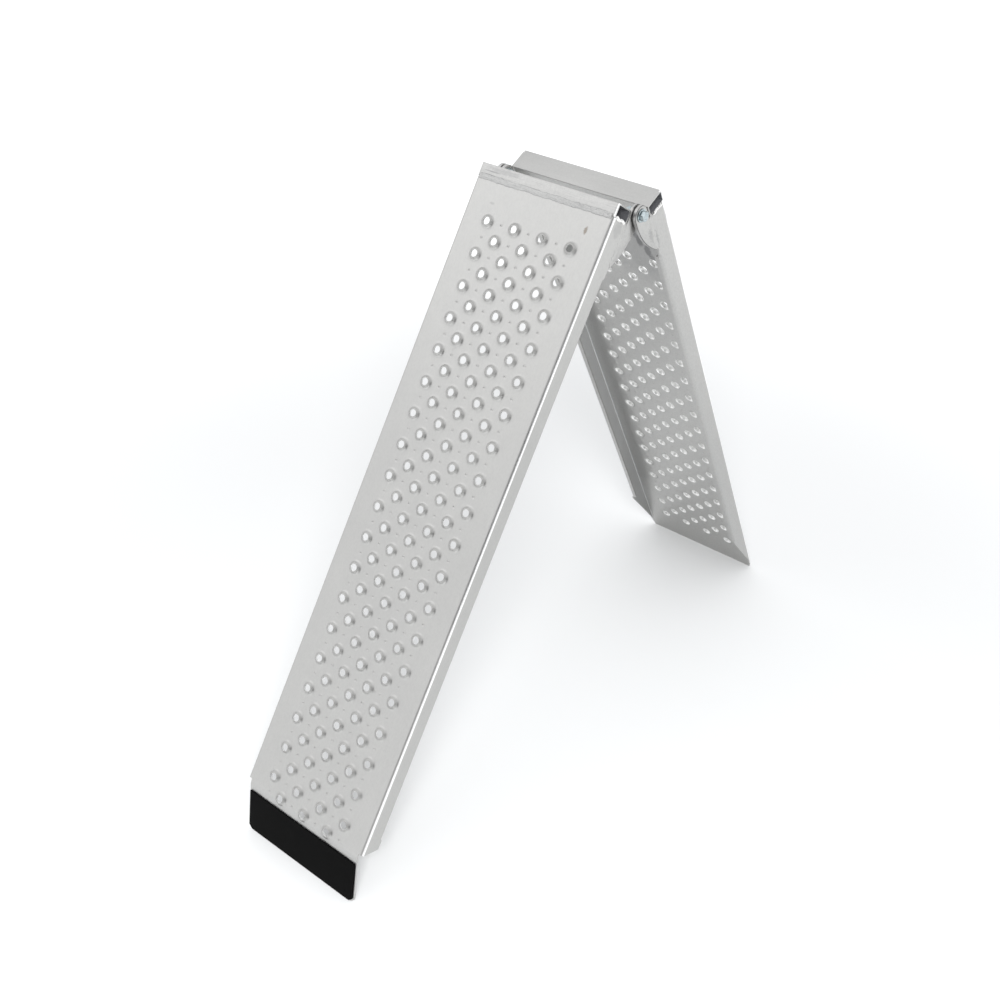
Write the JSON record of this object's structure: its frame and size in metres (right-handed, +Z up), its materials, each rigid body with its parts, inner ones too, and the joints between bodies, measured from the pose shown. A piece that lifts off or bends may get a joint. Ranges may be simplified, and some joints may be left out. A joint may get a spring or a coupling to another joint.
{
  "type": "folding loading ramp",
  "caption": "Folding loading ramp of punched sheet channels, hinged in the middle, with a bent loading lip and a black grip pad.",
  "frame": {"origin": "on the ground, in the middle of the half-folded ramp's bounding box", "axes": "+X runs across the ramp along the hinge axis, +Y points from the upper half's lip to the lower half's ground end, +Z is up"},
  "size_m": [0.2472, 1.0778, 0.873],
  "materials": {
    "deck_sheet": "mill finish, satin",
    "hinge_plate": "mill finish, lightly brushed",
    "weld_metal": "as welded and ground",
    "zinc_hardware": "blue zinc plated",
    "plain_steel": "plain",
    "grip_rubber": "matt, fine grain"
  },
  "bodies": {
    "upper_half": {"head_washer_left": "zinc_hardware", "head_washer_right": "zinc_hardware", "hinge_bolt_left": "zinc_hardware", "hinge_bolt_right": "zinc_hardware", "lip_grip_pad": "grip_rubber", "lock_nut_left": "zinc_hardware", "lock_nut_right": "zinc_hardware", "nut_washer_left": "zinc_hardware", "nut_washer_right": "zinc_hardware", "spacer_washer_left": "plain_steel", "spacer_washer_right": "plain_steel", "upper_deck": "deck_sheet", "upper_ear_weld_left": "weld_metal", "upper_ear_weld_right": "weld_metal", "upper_end_tube": "hinge_plate", "upper_hinge_ear_left": "hinge_plate", "upper_hinge_ear_right": "hinge_plate", "upper_seam_weld": "weld_metal", "upper_tube_weld_left": "weld_metal", "upper_tube_weld_right": "weld_metal"},
    "lower_half": {"lower_deck": "deck_sheet", "lower_ear_weld_left": "weld_metal", "lower_ear_weld_right": "weld_metal", "lower_end_tube": "hinge_plate", "lower_hinge_ear_left": "hinge_plate", "lower_hinge_ear_right": "hinge_plate", "lower_seam_weld": "weld_metal", "lower_tube_weld_left": "weld_metal", "lower_tube_weld_right": "weld_metal"}
  },
  "joints": [
    {"name": "fold", "type": "hinge", "parent": "upper_half", "child": "lower_half", "pos_m": [0, -0.00312, 0.848], "axis": [1, 0, 0], "range_deg": [-61.3, 118.7]}
  ]
}
